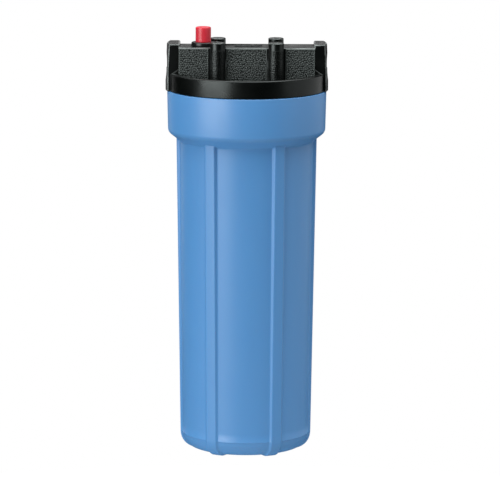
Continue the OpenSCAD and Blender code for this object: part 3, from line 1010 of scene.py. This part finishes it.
def make_ends():
    """The cast end caps and their foam gaskets."""
    cap_bore_r, gasket_bore_r, cap_edge, edge = 14.0, 14.5, 0.9, 0.5
    for place in ("top", "bottom"):
        low, high = box_mm(f"cartridge_{place}_cap")
        out_r, z0, z1 = high[0], low[2], high[2]
        cap = arc(out_r - cap_edge, z0 + cap_edge, cap_edge, -90, 0, 5)
        cap += arc(out_r - cap_edge, z1 - cap_edge, cap_edge, 0, 90, 5)
        cap += [(cap_bore_r + edge, z1), (cap_bore_r, z1 - edge)]
        cap += [(cap_bore_r, z0 + edge), (cap_bore_r + edge, z0)]
        dress(lathe(f"{place}_cap_visual", cap, 120, closed=True, sharp=50), "cartridge",
              "cartridge_plastic", f"cartridge_{place}_cap")
        low, high = box_mm(f"cartridge_{place}_gasket")
        out_r, z0, z1 = high[0], low[2], high[2]
        ring = arc(out_r - edge, z0 + edge, edge, -90, 0, 4)
        ring += arc(out_r - edge, z1 - edge, edge, 0, 90, 4)
        ring += arc(gasket_bore_r + edge, z1 - edge, edge, 90, 180, 4)
        ring += arc(gasket_bore_r + edge, z0 + edge, edge, 180, 270, 4)
        dress(lathe(f"{place}_gasket_visual", ring, 96, closed=True, sharp=60), "cartridge",
              "gasket_foam", f"cartridge_{place}_gasket")


make_seal()
make_core()
make_media()
make_net()
make_ends()


# ---------------------------------------------------------------- stage, lights, camera

def make_stage():
    """A pale floor, below the lowest place that the bowl reaches when it is taken off."""
    bpy.ops.mesh.primitive_circle_add(vertices=128, radius=0.7, fill_type="NGON", location=(0, 0, -0.17))
    floor = bpy.context.object
    floor.name = "floor"
    mat, tree, shader = new_material("floor", (0.15, 0.15, 0.15), 0.9)
    shader.inputs["Specular IOR Level"].default_value = 0.1
    shader.inputs["Emission Color"].default_value = (1, 1, 1, 1)
    shader.inputs["Emission Strength"].default_value = 0.9
    floor.data.materials.append(mat)
    floor.visible_glossy = False


def area_light(name, place, target, size, power):
    """A soft white rectangular light aimed at a point; sizes in metres, power in watts."""
    data = bpy.data.lights.new(name, "AREA")
    data.shape = "RECTANGLE"
    data.size, data.size_y = size
    data.energy = power
    light = bpy.data.objects.new(name, data)
    light.visible_camera = False
    light.location = place
    light.rotation_euler = (Vector(target) - Vector(place)).to_track_quat("-Z", "Y").to_euler()
    bpy.context.scene.collection.objects.link(light)


def make_surround():
    """A white surround for the camera, and a dim one for the object that its gloss doesn't show."""
    world = bpy.context.scene.world or bpy.data.worlds.new("world")
    bpy.context.scene.world = world
    world.use_nodes = True
    tree = world.node_tree
    sky = tree.nodes["Background"]
    sky.inputs["Color"].default_value = (1, 1, 1, 1)
    sky.inputs["Strength"].default_value = 1.0
    dim = tree.nodes.new("ShaderNodeBackground")
    dim.inputs["Color"].default_value = (0.95, 0.98, 1, 1)
    dim.inputs["Strength"].default_value = 0.20
    path = tree.nodes.new("ShaderNodeLightPath")
    mix = tree.nodes.new("ShaderNodeMixShader")
    tree.links.new(path.outputs["Is Camera Ray"], mix.inputs["Fac"])
    tree.links.new(dim.outputs["Background"], mix.inputs[1])
    tree.links.new(sky.outputs["Background"], mix.inputs[2])
    tree.links.new(mix.outputs["Shader"], tree.nodes["World Output"].inputs["Surface"])
    world.cycles_visibility.glossy = False


def make_lights():
    """Five soft boxes round the object; each row is a name, a place, a size and a power."""
    middle = (0, 0, 0.16)
    for name, place, size, power in (
            ("key", (-1.42, -1.30, 0.40), (1.5, 1.0), 25),
            ("overhead", (0, -0.1, 1.9), (3.0, 3.0), 84),
            ("right", (1.92, 0.34, 0.4), (4.2, 1.5), 11.5),
            ("behind", (0, 2.4, 0.45), (0.9, 0.5), 1.2),
            ("behind_left", (-1.2, 1.95, 0.35), (0.5, 1.3), 1.8)):
        area_light(name, place, middle, size, power)


def make_camera():
    """The photo's camera: a long lens a little above the object, aimed near its middle."""
    place = Vector((0, -2.967, 0.642))
    target = Vector((0.0028, 0, 0.1465))
    roll = Quaternion((0, 0, 1), math.radians(0.24))
    data = bpy.data.cameras.new("camera")
    data.lens = 296.4
    data.sensor_width = 36
    data.clip_end = 60
    camera = bpy.data.objects.new("camera", data)
    camera.location = place
    camera.rotation_euler = ((target - place).to_track_quat("-Z", "Y") @ roll).to_euler()
    bpy.context.scene.collection.objects.link(camera)
    bpy.context.scene.camera = camera


make_stage()
make_surround()
make_lights()
make_camera()
bpy.context.scene.view_settings.view_transform = "Standard"
